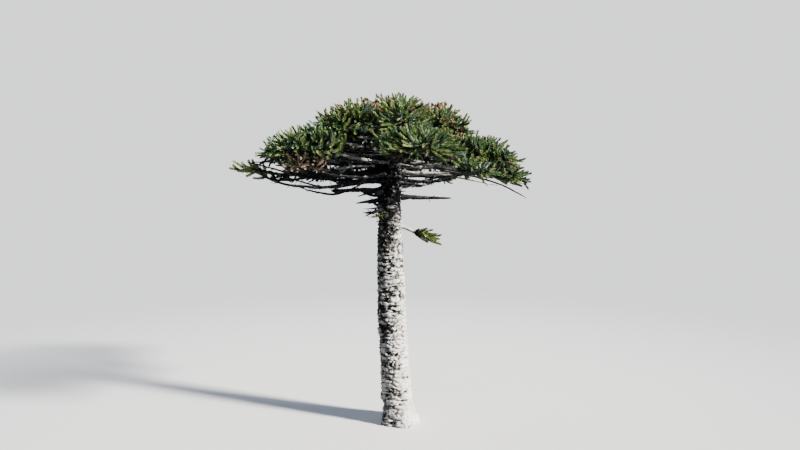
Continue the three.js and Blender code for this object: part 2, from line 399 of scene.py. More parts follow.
def trunk_at(height):
    """The trunk's middle and mean radius at a height."""
    row = smooth_through(TRUNK_HEIGHTS, TRUNK_ROWS, np.array([height]))[0]
    return np.array([row[0], row[1], height]), row[2:].mean()


def limb_line(name, count=10):
    """The middle line and radius of a CAD limb, from slices across the way it runs."""
    vertices, triangles = cad_mesh(name)
    middle, _ = trunk_at(vertices[:, 2].mean())
    away = np.hypot(*(vertices - middle)[:, :2].T)
    way = unit(vertices[away.argmax(), :2] - vertices[away.argmin(), :2])
    reach = vertices[:, :2] @ way
    edges = np.concatenate([triangles[:, [0, 1]], triangles[:, [1, 2]], triangles[:, [2, 0]]])
    a, b = reach[edges].T
    rows = []
    for at in np.linspace(reach.min() + 0.4 * END_SKIP, reach.max() - END_SKIP, count):
        cut = (a - at) * (b - at) < 0
        share = ((at - a[cut]) / (b[cut] - a[cut]))[:, None]
        points = vertices[edges[cut, 0]] * (1 - share) + vertices[edges[cut, 1]] * share
        centre = points.mean(0)
        rows.append([*centre, np.linalg.norm(points - centre, axis=1).mean()])
    return np.array(rows)


# Making meshes and pieces

def new_object(name, data):
    thing = bpy.data.objects.new(name, data)
    bpy.context.scene.collection.objects.link(thing)
    return thing


def make_piece(name, vertices, faces, materials, nodes=(), face_material=None):
    """A mesh piece from an array of vertices, and arrays of faces with a number of corners each."""
    mesh = bpy.data.meshes.new(name)
    corners = np.concatenate([f.ravel() for f in faces]).astype(np.int32)
    sizes = np.concatenate([np.full(len(f), f.shape[1]) for f in faces])
    starts = np.concatenate([[0], np.cumsum(sizes)[:-1]]).astype(np.int32)
    mesh.vertices.add(len(vertices))
    mesh.vertices.foreach_set("co", vertices.astype(np.float32).ravel())
    mesh.loops.add(len(corners))
    mesh.loops.foreach_set("vertex_index", corners)
    mesh.polygons.add(len(starts))
    mesh.polygons.foreach_set("loop_start", starts)
    mesh.polygons.foreach_set("use_smooth", np.full(len(starts), True))
    for material in materials:
        mesh.materials.append(material)
    if face_material is not None:
        mesh.polygons.foreach_set("material_index", face_material.astype(np.int32))
    mesh.update(calc_edges=True)
    piece = new_object(name, mesh)
    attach(piece, "root")
    if nodes:
        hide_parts(*nodes)
    return piece


def set_layout(piece, places):
    """Where in a baked texture the face corners are, from arrays in the order of the faces."""
    layer = piece.data.uv_layers.new(name="OFBake")
    layer.data.foreach_set("uv", np.concatenate(places).astype(np.float32).ravel())


def set_relief(piece, values):
    """How far the bark stands out at each vertex, from 0 in a crack to 1 on a knob, with the painted light
    and shade that callers add.
    """
    layer = piece.data.attributes.new("relief", "FLOAT", "POINT")
    layer.data.foreach_set("value", np.clip(values, 0, 1).astype(np.float32).ravel())


def tubes(paths, radii, sides):
    """The vertices of tubes along paths, as tubes x rings x sides, and their outward directions."""
    along = unit(np.gradient(paths, axis=1))
    side, over = ways_across(along, unit(paths[:, -1] - paths[:, 0])[:, None])
    turn = full_turn(sides)[:, None]
    out = side[:, :, None] * np.cos(turn) + over[:, :, None] * np.sin(turn)
    return paths[:, :, None] + radii[:, :, None, None] * out, out


def tube_faces(count, rings, sides):
    """The quads of tubes, and the triangles that close both their ends."""
    tube = np.arange(count)[:, None, None] * rings * sides
    ring = np.arange(rings - 1)[None, :, None] * sides
    side = np.arange(sides)[None, None, :]
    after = (side + 1) % sides
    quads = np.stack([ring + side, ring + after, ring + sides + after, ring + sides + side], -1)
    quads = (quads + tube[..., None]).reshape(-1, 4)
    k = np.arange(1, sides - 1)
    fan = np.stack([0 * k, k + 1, k], -1)
    first = (fan + tube).reshape(-1, 3)
    last = (fan[:, ::-1] + tube + (rings - 1) * sides).reshape(-1, 3)
    return quads, np.concatenate([first, last])


def tube_strips(count, rings, sides, columns, low, high):
    """The places of tubes' face corners in a layout of one strip a tube, between two heights."""
    tube, ring, side = (i.reshape(-1, 1) for i in np.indices((count, rings - 1, sides)))
    cap = np.tile(np.repeat(np.arange(count), sides - 2), 2)[:, None]
    rows = math.ceil(count / columns)

    def place(number, along, across):
        u = (number % columns + along) / columns
        v = low + (high - low) * (number // columns + across) / rows
        return np.stack([u, v], -1).reshape(-1, 2)

    along = 0.94 * (ring + np.array([0, 0, 1, 1])) / (rings - 1)
    across = 0.9 * (side + np.array([0, 1, 1, 0])) / sides
    return place(tube, along, across), place(cap, np.array([0.95, 0.97, 0.99]), np.array([0.2, 0.2, 0.6]))


# Materials

def set_inputs(tree, node, values):
    """Sets a node's inputs, or links those whose value is another node's output."""
    for name, value in values.items():
        if isinstance(value, bpy.types.NodeSocket):
            tree.links.new(value, node.inputs[name])
        else:
            node.inputs[name].default_value = value


def new_material(name, roughness, specular):
    material = bpy.data.materials.new(name)
    material.use_nodes = True
    tree = material.node_tree
    shader = tree.nodes["Principled BSDF"]
    set_inputs(tree, shader, {"Roughness": roughness, "Specular IOR Level": specular})
    return material, tree, shader


def add(tree, kind, inputs=None, **values):
    node = tree.nodes.new(kind)
    for key, value in values.items():
        setattr(node, key, value)
    set_inputs(tree, node, inputs or {})
    return node


def ramp(tree, source, stops):
    """A colour for each value of source, from stops of a place and a colour."""
    node = add(tree, "ShaderNodeValToRGB", {"Fac": source})
    elements = node.color_ramp.elements
    while len(elements) < len(stops):
        elements.new(0.5)
    for element, (place, colour) in zip(elements, stops):
        element.position = place
        element.color = (*colour, 1)
    return node.outputs["Color"]


def mixed(tree, factor, first, second, blend="MIX"):
    inputs = {0: factor, 6: first, 7: second}
    return add(tree, "ShaderNodeMix", inputs, data_type="RGBA", blend_type=blend).outputs[2]


def cloud(tree, scale, detail, stretch=(1, 1, 1), roughness=0.6):
    """Noise in the tree's own frame, stretched along its axes."""
    place = add(tree, "ShaderNodeTexCoord").outputs["Object"]
    place = add(tree, "ShaderNodeMapping", {"Vector": place, "Scale": stretch}).outputs["Vector"]
    inputs = {"Vector": place, "Scale": scale, "Detail": detail, "Roughness": roughness}
    return add(tree, "ShaderNodeTexNoise", inputs).outputs["Fac"]


def bark_material(name, upper_stops=None):
    """Bark with a colour for each share of its relief, darker ones higher up that paint the crown's shade,
    and patches of lichen.
    """
    stops, lichen, depth = BARKS[name]
    material, tree, shader = new_material(name, 0.92, 0.25)
    relief = add(tree, "ShaderNodeAttribute", attribute_name="relief").outputs["Fac"]
    colour = ramp(tree, relief, stops)
    if upper_stops:
        place = add(tree, "ShaderNodeTexCoord").outputs["Object"]
        height = add(tree, "ShaderNodeSeparateXYZ", {"Vector": place}).outputs["Z"]
        inputs = {"Value": height, "From Min": SHADE_HEIGHT - 0.8, "From Max": SHADE_HEIGHT + 0.8}
        rise = add(tree, "ShaderNodeMapRange", inputs).outputs["Result"]
        colour = mixed(tree, rise, colour, ramp(tree, relief, upper_stops))
    patch = ramp(tree, cloud(tree, 5.5, 7, roughness=0.7), [(0.55, (0, 0, 0)), (0.66, (0.8, 0.8, 0.8))])
    colour = mixed(tree, patch, colour, (*lichen, 1))
    blotch = ramp(tree, cloud(tree, 2.2, 5), [(0.3, (0.66, 0.64, 0.62)), (0.7, (1.1, 1.09, 1.07))])
    colour = mixed(tree, 1.0, colour, blotch, "MULTIPLY")
    streak = cloud(tree, 26, 7, (1, 1, 2.6), 0.7)
    grain = ramp(tree, streak, [(0.36, (0.42, 0.40, 0.38)), (0.58, (1.1, 1.1, 1.1))])
    colour = mixed(tree, 1.0, colour, grain, "MULTIPLY")
    inputs = {"Strength": 0.8, "Distance": depth, "Height": cloud(tree, 34, 9, (1, 1, 1.8), 0.75)}
    normal = add(tree, "ShaderNodeBump", inputs).outputs["Normal"]
    set_inputs(tree, shader, {"Base Color": colour, "Normal": normal})
    return material


def plain_material(name, colour, roughness):
    """A material of one colour."""
    material, tree, shader = new_material(name, roughness, 0.5)
    set_inputs(tree, shader, {"Base Color": (*colour, 1)})
    return material


# The trunk

def bark_relief(skin):
    """How far the trunk's bark stands out, about 0 to 1: wavy level ridges, knobs, pits and lumps."""
    shift = 0.075 * noise(skin / (0.45, 0.45, 0.5), 3) + 0.03 * noise(skin / (0.14, 0.14, 0.2), 4)
    wavy = skin + shift[..., None] * (0, 0, 1)
    nearest, next_one, number = strewn(wavy / RIDGE_SIZE, np.array(ROW_STRAY), 71)
    ridges = smoothstep(0.0, 0.34, next_one - nearest) * (0.7 + 0.3 * number)
    nearest, next_one, number = strewn(wavy / KNOB_SIZE, np.array(ROW_STRAY), 61)
    knobs = smoothstep(0.0, 0.46, next_one - nearest) * (0.5 + 0.5 * number)
    nearest, _, kept = strewn(wavy / PIT_SIZE, 1, 11)
    pits = (1 - smoothstep(0.16, 0.40, nearest)) * (kept > 0.5)
    lumps = noise(wavy / (0.13, 0.13, 0.07), 21)
    grit = noise(wavy / (0.055, 0.055, 0.035), 31)
    return 0.08 + 0.50 * ridges + 0.29 * knobs + 0.18 * lumps + 0.13 * grit - 0.45 * pits


def make_trunk():
    heights = np.linspace(0, TRUNK_HEIGHTS[-1], TRUNK_RINGS)
    rows = smooth_through(TRUNK_HEIGHTS, TRUNK_ROWS, heights)
    angles = full_turn(TRUNK_SIDES)
    out = np.stack([np.cos(angles), np.sin(angles), 0 * angles], -1)
    middle = np.stack([rows[:, 0], rows[:, 1], heights], -1)[:, None]
    skin = middle + rows[:, 2:, None] * out
    relief = bark_relief(skin)
    swell = noise(skin / (0.8, 0.8, 0.45), 41)
    depth = 1 + 0.45 * noise(skin / 0.6, 51)
    thin = np.clip(rows[:, 2:].mean(1) / 0.4, 0.2, 1) * smoothstep(0.0, 0.05, heights)
    stand = (BARK_DEPTH * depth * (relief - 0.55) + 0.018 * swell) * thin[:, None]
    vertices = skin + stand[..., None] * out

    bark = bark_material("trunk_bark", SHADED_STOPS)
    faces = tube_faces(1, TRUNK_RINGS, TRUNK_SIDES)
    piece = make_piece("trunk_bark", vertices.reshape(-1, 3), faces, [bark], ["trunk"])
    foot_light = PAINTED_FOOT_LIGHT * (1 - smoothstep(1.5, 5.0, heights))[:, None]
    painted_shade = smoothstep(5.4, 7.0, heights)[:, None] * (PAINTED_HIGH_SHADE + PAINTED_SHADE_SIDE * smoothstep(-0.1, 0.5, -out[:, 0]))
    # Painted light and shade in the bark's colour: paler towards +X and near the ground, darker towards -X
    # and higher up
    set_relief(piece, relief + PAINTED_SUN_SIDE * out[:, 0] + foot_light - painted_shade)
    set_layout(piece, tube_strips(1, TRUNK_RINGS, TRUNK_SIDES, 1, 0.0, 1.0))


# Limbs

def tapered(thick, *points):
    """The rows of a line through points that each come with a share of a thickness."""
    return np.array([[*point, share * thick] for point, share in points])


def with_root(line):
    """A limb's line begun a little inside the trunk, swollen where it leaves it."""
    middle, radius = trunk_at(line[0, 2])
    way = unit(line[0, :3] - middle)
    inside = middle + way * max(radius - ROOT_DEPTH, 0.3 * radius)
    collar = middle + way * (radius + 0.01)
    return np.vstack([tapered(line[0, 3], (inside, 1.5), (collar, 1.28)), line[1:]])


def to_point(line):
    """A limb's line carried on to a broken end, as far as the slices of a CAD limb stop short of it."""
    way = unit(line[-1, :3] - line[-2, :3])
    halfway, end = line[-1, :3] + way * 0.5 * END_SKIP, line[-1, :3] + way * END_SKIP
    return np.vstack([line, tapered(line[-1, 3], (halfway, 0.75), (end, 0.25))])


def through_mass(name, line):
    """A bough's line carried on through its mass, towards the mass's far end."""
    vertices, _ = cad_mesh(name)
    centre = (vertices.min(0) + vertices.max(0)) / 2
    middle, _ = trunk_at(centre[2])
    way = level_way(centre - middle)
    reach = ((vertices - centre) @ way).max()
    heart = centre - (0, 0, 0.12 * np.ptp(vertices[:, 2]))
    end = heart + way * 0.55 * reach + (0, 0, 0.05)
    return np.vstack([line, tapered(line[-1, 3], (heart, 0.62), (end, 0.15))])


def knotty_tubes(lines, rings, sides, drift, seed):
    """Tubes with knots along lines, and how far their bark stands out, with painted light: paler on top and
    darker underneath.
    """
    rows = np.stack([even_path(line, rings) for line in lines])
    paths, radii = rows[..., :3], np.maximum(rows[..., 3], 0.005)
    free = smoothstep(0.0, 0.15, np.linspace(0, 1, rings))[:, None]
    paths = paths + drift * free * np.stack([noise(paths / 0.34, seed + k) for k in range(3)], -1)
    vertices, out = tubes(paths, radii, sides)
    relief = 0.55 * noise(vertices / (0.10, 0.10, 0.07), seed + 5) + 0.45 * noise(vertices / 0.04, seed + 6)
    swell = 0.9 * np.maximum(noise(paths / 0.14, seed + 7), 0)[..., None]
    stand = radii[:, :, None] * 0.22 * (relief + swell)
    # Painted light from above: tops paler, undersides darker
    return vertices + stand[..., None] * out, relief + 0.6 * out[..., 2]


def broken_twigs(lines, per_limb, longest, rng):
    """The lines of short broken twigs that stand off limbs."""
    twigs = []
    for line in lines:
        path = even_path(line, 40)
        for _ in range(per_limb):
            i = int(rng.uniform(0.12, 0.95) * 38)
            way = unit(path[i + 1, :3] - path[i, :3])
            side = unit(np.cross(way, (0, 0, 1))) * rng.choice([-1, 1])
            lean = side * rng.uniform(0.4, 1) + (0, 0, rng.uniform(-0.75, 0.6))
            lean = unit(lean + way * rng.uniform(0, 0.9))
            length = longest * rng.uniform(0.25, 1) ** 1.6
            thick = path[i, 3] * rng.uniform(0.16, 0.34)
            start = path[i, :3] + lean * path[i, 3] * 0.4
            turn = start + lean * length * 0.6 + rng.normal(0, 0.02, 3)
            end = turn + unit(lean + (0, 0, rng.uniform(-0.3, 0.7))) * length * 0.4
            twigs.append(tapered(thick, (start, 1.25), (turn, 1), (end, 0.55)))
    return twigs


def bare_limbs(rng):
    """The lines of thin bare limbs all round the trunk, level or drooping a little."""
    lines = []
    for number in range(BARE_LIMBS + LEFT_LIMBS):
        leftwards = number >= BARE_LIMBS
        height = rng.uniform(*LEFT_HEIGHTS) if leftwards else BARE_LOWEST + BARE_RISE * number / BARE_LIMBS
        middle, radius = trunk_at(height)
        azimuth = rng.normal(math.pi, 0.4) if leftwards else number * GOLDEN_ANGLE + rng.normal(0, 0.2)
        way = np.array([math.cos(azimuth), math.sin(azimuth), 0])
        turned = np.array([-way[1], way[0], 0]) * rng.normal(0, 0.10)
        length = rng.uniform(*(LEFT_LENGTHS if leftwards else BARE_LENGTHS))
        thick = 0.012 + 0.009 * length
        droop = rng.uniform(-0.02, 0.12) * length
        start = middle + way * max(radius - ROOT_DEPTH, 0.3 * radius)
        halfway = middle + (way + turned) * (radius + 0.5 * length) - (0, 0, droop)
        end = middle + (way + 1.6 * turned) * (radius + length) + (0, 0, rng.uniform(-0.6, 0.9) * droop)
        collar = middle + way * (radius + 0.02)
        lines.append(tapered(thick, (start, 1.7), (collar, 1.4), (halfway, 0.85), (end, 0.35)))
    return lines


def trunk_stubs(rng):
    """The lines of what is left of limbs that broke off near the trunk."""
    lines = []
    for number, height in enumerate(rng.uniform(*STUB_HEIGHTS, TRUNK_STUBS)):
        low = number % 3 == 0
        if low:
            height = rng.uniform(*LOW_STUB_HEIGHTS)
        middle, radius = trunk_at(height)
        azimuth = rng.normal(math.radians(185), 0.5) if low else rng.uniform(0, 2 * math.pi)
        way = np.array([math.cos(azimuth), math.sin(azimuth), rng.uniform(-0.35, 0.2)])
        length = 0.10 + 0.55 * rng.random() ** 1.8 + (0.2 if low else 0)
        thick = rng.uniform(0.012, 0.034) * (2.0 if low else 1)
        start = middle + way * (radius - 0.06)
        turn = middle + way * (radius + 0.5 * length)
        end = middle + way * (radius + length) + rng.normal(0, 0.12 * length, 3)
        lines.append(tapered(thick, (start, 1.7), (turn, 1), (end, 0.3)))
    return lines


def make_limbs(name, lines, twigs, bark, nodes, seed, fineness=LIMB_FINENESS):
    """One piece of limbs with broken twigs on them."""
    # For each: rings and sides, how far they stray, and their columns and heights in the layout
    groups = [(lines, *fineness, 0.016, 1, 0.0, 0.84), (twigs, *STUB_FINENESS, 0.0, 12, 0.86, 1.0)]
    parts, count = [], 0
    for number, (paths, rings, sides, drift, columns, low, high) in enumerate(groups):
        places, stand = knotty_tubes(paths, rings, sides, drift, seed + 10 * number)
        body, closing = tube_faces(len(paths), rings, sides)
        strips = tube_strips(len(paths), rings, sides, columns, low, high)
        parts.append((places.reshape(-1, 3), stand.ravel(), body + count, closing + count, *strips))
        count += stand.size
    vertices, relief, quads, ends, walls, caps = zip(*parts)
    piece = make_piece(name, np.concatenate(vertices), quads + ends, [bark], nodes)
    set_relief(piece, 0.5 + 0.5 * np.concatenate(relief))
    set_layout(piece, walls + caps)


def cad_limb_lines():
    """The line of each CAD limb, some of them thicker than their solids."""
    lines = {name: with_root(limb_line(name)) for name in BOUGHS}
    lines |= {name: to_point(with_root(limb_line(name))) * (1, 1, 1, DEAD_THICKER) for name in DEAD_LIMBS}
    lines[MOSSY] -= (0, MOSSY_FORWARDS, 0, 0)
    for name, factor in THICKER.items():
        lines[name] *= (1, 1, 1, factor)
    return lines


def make_all_limbs(lines, axes):
    """The live boughs, the dead limbs, and the limbs that have no CAD solid."""
    rng = np.random.default_rng(SEED)
    boughs = [axes[mass] for mass in axes if mass != "foliage_low"]
    names = [name for name in BOUGHS if name != "bough_low"]
    twigs = broken_twigs(boughs, 14, 0.24, rng)
    make_limbs("boughs", boughs, twigs, bark_material("bough_bark"), names, 61)

    pale = [axes["foliage_low"]] + [to_point(np.array(line)) for line in PALE_LIMBS]
    twigs = broken_twigs(pale, 6, 0.16, rng) + broken_twigs([pale[2][1:]], 22, 0.42, rng)
    make_limbs("pale_limbs", pale, twigs, bark_material("pale_bark"), ["bough_low"], 51)

    dead_wood = bark_material("dead_wood")
    names = [name for name in DEAD_LIMBS if name != MOSSY]
    dead = [lines[name] for name in names]
    make_limbs("dead_limbs", dead, broken_twigs(dead, 9, 0.22, rng), dead_wood, names, 71)
    twigs = broken_twigs([lines[MOSSY]], 26, 0.30, rng)
    make_limbs("mossy_limb", [lines[MOSSY]], twigs, bark_material("moss"), [MOSSY], 81)

    bare = bare_limbs(rng)
    dark = [to_point(np.array(line)) for line in DARK_LIMBS]
    twigs = broken_twigs(bare[:BARE_LIMBS], 6, 0.34, rng) + broken_twigs(bare[BARE_LIMBS:], 20, 0.45, rng)
    twigs += trunk_stubs(rng) + broken_twigs(dark[:2], 30, 0.50, rng)
    make_limbs("bare_limbs", bare + dark, twigs, dead_wood, [], 91, BARE_FINENESS)


# The crown's growth

def surface_spots(vertices, triangles, spacing, rng):
    """Spots strewn over a mass's surface, none too near another, and the surface's directions."""
    a, b, c = (vertices[triangles[:, i]] for i in range(3))
    normal = np.cross(b - a, c - a)
    area = np.linalg.norm(normal, axis=1) / 2
    tries = int(7 * area.sum() / spacing**2)
    pick = rng.choice(len(area), tries, p=area / area.sum())
    r, s = np.sqrt(rng.random(tries))[:, None], rng.random(tries)[:, None]
    spots = (1 - r) * a[pick] + r * (1 - s) * b[pick] + r * s * c[pick]
    chosen = [0]
    for i in range(1, tries):
        if ((spots[chosen] - spots[i]) ** 2).sum(1).min() > spacing**2:
            chosen.append(i)
    return spots[chosen], unit(normal[pick[chosen]])


def neighbours(points, count, rng):
    """Sorts points into groups of neighbours, and gives each point's group."""
    centres = points[rng.choice(len(points), count, replace=False)]
    for _ in range(8):
        nearest = ((points[:, None] - centres) ** 2).sum(-1).argmin(1)
        for k in np.unique(nearest):
            centres[k] = points[nearest == k].mean(0)
    return nearest


def is_inside(tree, point):
    spot, normal, _, _ = tree.find_nearest(point)
    return (Vector(point) - spot).dot(normal) < 0


def free_spots(name, vertices, triangles, trees, rng):
    """Spots for a mass's tips: fewer on its underside or where another mass covers it, and none too low."""
    spacing = FANS[name][1] if name in FANS else TIP_SPACING
    spots, normals = surface_spots(vertices, triangles, spacing, rng)
    keep = []
    for spot, normal in zip(spots, normals):
        probe = spot + 0.10 * normal
        covered = any(is_inside(tree, probe) for other, tree in trees.items() if other != name)
        share = 0.5 if covered else np.interp(normal[2], [-0.8, -0.25], [0.3, 1.0])
        lowest = UNDERSIDE[0] + UNDERSIDE[1] * spot[0] + UNDERSIDE[2] * spot[1]
        lowest -= UNDERSIDE_BACK * (spot[1] > 2)
        cut = spot[0] > UNDERSIDE_FROM and spot[2] < lowest and name != "foliage_low"
        keep.append(rng.random() < share and not cut)
    return spots[keep], normals[keep]


def grow_spray(goal, path):
    """The branch that carries a spray: where it leaves the bough, its turn, its end and its radius."""
    steps = along_path(path)
    nearest = ((path[:, :3] - goal) ** 2).sum(1).argmin()
    gap = goal - path[nearest, :3]
    hub = goal - unit(gap) * min(0.5 * np.linalg.norm(gap), 0.42)
    at = steps[nearest] - 0.75 * np.linalg.norm(hub - path[nearest, :3])
    i = min(int(np.searchsorted(steps, max(at, 0.1 * steps[-1]))), len(path) - 2)
    start = path[i, :3]
    reach = np.linalg.norm(hub - start)
    way = unit(0.55 * unit(path[i + 1, :3] - start) + unit(hub - start))
    radius = max(min(0.62 * path[i, 3], 0.016 + 0.020 * reach), 0.013)
    return start, start + way * 0.5 * reach, hub, radius


def deal_sprays(spots, fewest, paths, rng):
    """Deals spots into sprays, and gives each one's numbers, middle and branch from the nearest path."""
    group = neighbours(spots, max(fewest, len(spots) // SHOOTS_IN_A_SPRAY), rng)
    for k in np.unique(group):
        goal = spots[group == k].mean(0)
        path = min(paths, key=lambda p: ((p[:, :3] - goal) ** 2).sum(1).min())
        yield np.nonzero(group == k)[0], goal, grow_spray(goal, path)


def grow_fan(name, axis, trees, rng):
    """Nearly straight shoots from a bough's end to the outer side of its mass."""
    vertices, triangles = cad_mesh(name)
    spots, normals = free_spots(name, vertices, triangles, trees, rng)
    path = even_path(axis, 60)[:, :3]
    inside = np.nonzero([is_inside(trees[name], point) for point in path])[0]
    path = path[max(inside[0] - 3, 0):]
    way = unit(path[-1] - path[0])
    shoots = []
    for spot, normal in zip(spots, normals):
        if normal @ way < -0.35:
            continue
        tip = spot + normal * rng.uniform(-0.22, 0.08)
        gap = np.linalg.norm(path - tip, axis=1)
        reach = max(rng.uniform(*FANS[name][0]), 1.05 * gap.min())
        root = path[np.nonzero(gap < reach)[0][0]]
        sag = (0, 0, rng.uniform(-0.16, 0.06)) + rng.normal(0, 0.05, 3)
        shoots.append((root, (root + tip) / 2 + reach * sag, tip, normal[2]))
    return shoots


def grow_shoot(spray, low, high, tip, aim, straight, rng):
    """A shoot's start on its spray, its turn and its tip."""
    root = bend(*spray[:3], np.array(rng.uniform(low, high)))
    if tip[2] < root[2]:
        straight += 2.5
    aim = unit(aim + straight * unit(tip - root))
    return root, tip - aim * 0.56 * np.linalg.norm(tip - root), tip


def grow_mass(name, axis, trees, rng):
    """A mass's sprays, and its shoots as a start, a turn, a tip and how open to the sky they are."""
    vertices, triangles = cad_mesh(name)
    spots, normals = free_spots(name, vertices, triangles, trees, rng)
    middle, _ = trunk_at((vertices[:, 2].min() + vertices[:, 2].max()) / 2)
    sprays, shoots = [], []
    for members, goal, spray in deal_sprays(spots, 2, [even_path(axis, 60)], rng):
        sprays.append(spray)
        for spot, normal in zip(spots[members], normals[members]):
            way = level_way(spot - middle)
            stray = rng.normal(0, 0.22, 3)
            if normal[2] < -0.3:
                off, out, up = UNDER_AIM
                aim = unit(off * normal + out * way + (0, 0, up) + stray)
                tip = spot - normal * rng.uniform(*UNDER_DEPTHS)
                straight = 3.0
            else:
                off, out, up = OUTER_AIM
                spread = 0.25 + 0.16 * np.linalg.norm(spot[:2] - middle[:2])
                fan = level_way(spot - goal)
                aim = off * normal + out * spread * way + FAN_AIM * fan + (0, 0, up)
                away = max(aim @ normal, 0) * (1 - abs(normal[2]))
                aim = unit(aim - 0.55 * away * normal + 0.7 * stray)
                tip = spot + normal * rng.uniform(*OUTER_HEIGHTS)
                straight = 0.8
            shoots.append((*grow_shoot(spray, 0.45, 1.0, tip, aim, straight, rng), normal[2]))
            if rng.random() < INNER_SHARE:
                tip = spot - normal * rng.uniform(*INNER_DEPTHS) + rng.normal(0, 0.05, 3)
                aim = unit(aim + rng.normal(0, 0.35, 3))
                shoots.append((*grow_shoot(spray, 0.1, 0.9, tip, aim, 0.5, rng), -1))
    return sprays, shoots


def shaded_spots(rng):
    """Spots in the shaded rooms, evenly strewn."""
    rooms = []
    for centre, size, count in SHADED_ROOMS:
        way = unit(rng.normal(0, 1, (count, 3)))
        rooms.append(centre + way * size * rng.random((count, 1)) ** (1 / 3))
    return np.concatenate(rooms)


def gap_spots(rng):
    """Spots strewn over the crown's rounded top, but not over the gap that stays open."""
    rings, sides = 9, 24
    radius = np.linspace(0.3, CROWN_RADIUS, rings)[:, None]
    angle = full_turn(sides)
    fall = CROWN_FALL * radius**2 + 0 * angle
    rows = np.stack([radius * np.cos(angle), radius * np.sin(angle), -fall], -1)
    quads, _ = tube_faces(1, rings, sides)
    triangles = np.concatenate([quads[:, :3], quads[:, [0, 2, 3]]])
    spots, _ = surface_spots(CROWN_TOP + rows.reshape(-1, 3), triangles, TIP_SPACING, rng)
    spots += rng.normal(0, 0.07, spots.shape)
    return spots[(np.abs(spots[:, 0] - OPEN_GAP[0]) > OPEN_GAP[1]) | (spots[:, 1] > OPEN_GAP[2])]


def grow_loose(name, axes, trees, rng):
    """Sprays and shoots outside the masses, from the nearest boughs."""
    shaded = name == "foliage_shade"
    spots = shaded_spots(rng) if shaded else gap_spots(rng)
    spots = spots[[not any(is_inside(tree, spot) for tree in trees.values()) for spot in spots]]
    paths = [even_path(axes[n], 60) for n in axes if "dome" in n or "ring" in n or n == "foliage_cap"]
    paths += [even_path(np.array(line), 60) for line in DARK_LIMBS]
    sprays, shoots = [], []
    for members, _, spray in deal_sprays(spots, 1, paths, rng):
        sprays.append(spray)
        for tip in spots[members]:
            outward = level_way(tip - trunk_at(tip[2])[0])
            rise, stray = (0.4, 0.4) if shaded else (1.1, 0.25)
            aim = unit(outward + (0, 0, rise) + rng.normal(0, stray, 3))
            shoots.append((*grow_shoot(spray, 0.2, 1.0, tip, aim, 0.5, rng), -1 if shaded else 1))
    return sprays, shoots


def with_cones(tips, rng):
    """Which shoots bear cones: most of those in the patches."""
    bears = np.zeros(len(tips), dtype=bool)
    for *place, size in CONE_PATCHES:
        near = np.linalg.norm(tips - place, axis=1) < size * rng.uniform(0.9, 1.5, len(tips))
        bears |= near & (rng.random(len(tips)) < 0.8)
    return bears


def draw_hues(shares, count, rng):
    """Leaf colours by chance, from a share for each name."""
    return rng.choice([HUE[name] for name in shares], count, p=list(shares.values()))


def shoot_hues(tips, upward, mass, rng):
    """The colour of each shoot: greens by chance, and in the shade darker greens, which are painted shade,
    or dry ones.
    """
    hues = draw_hues(OTHER_SHARES.get(mass, USUAL_SHARES), len(tips), rng)
    if mass == "foliage_low":
        near = tips[:, 0] < rng.normal(LOW_DARK_UNTIL, 0.08, len(tips))
        hues[near] = HUE["deep"]
    if mass not in OTHER_SHARES and mass != "foliage_shade":
        high = (tips[:, 2] > HIGH_FROM) & (rng.random(len(tips)) < 0.45)
        hues[high] = draw_hues(HIGH_SHARES, high.sum(), rng)
    under = (upward < -0.45) & (rng.random(len(tips)) < (0 if mass in FANS else 0.6))
    hues[under] = draw_hues(UNDER_SHARES, under.sum(), rng)
    return hues


def leaf_hues(hue, part, to_tip, rng):
    """A leaf's colour: its shoot's, but darker where it is old and yellower at the tip."""
    green = hue < HUE["tan"]
    old = green & (part < rng.uniform(0.0, 0.30, len(hue)))
    fresh = green & (to_tip < 0.05) & (hue != HUE["deep"]) & (rng.random(len(hue)) < 0.15)
    hue = np.where(fresh, HUE["pale"], np.where(old, HUE["deep"], hue))
    return np.where(((hue == HUE["tan"]) | (hue == HUE["rust"])) & (part < 0.6), HUE["olive"], hue)


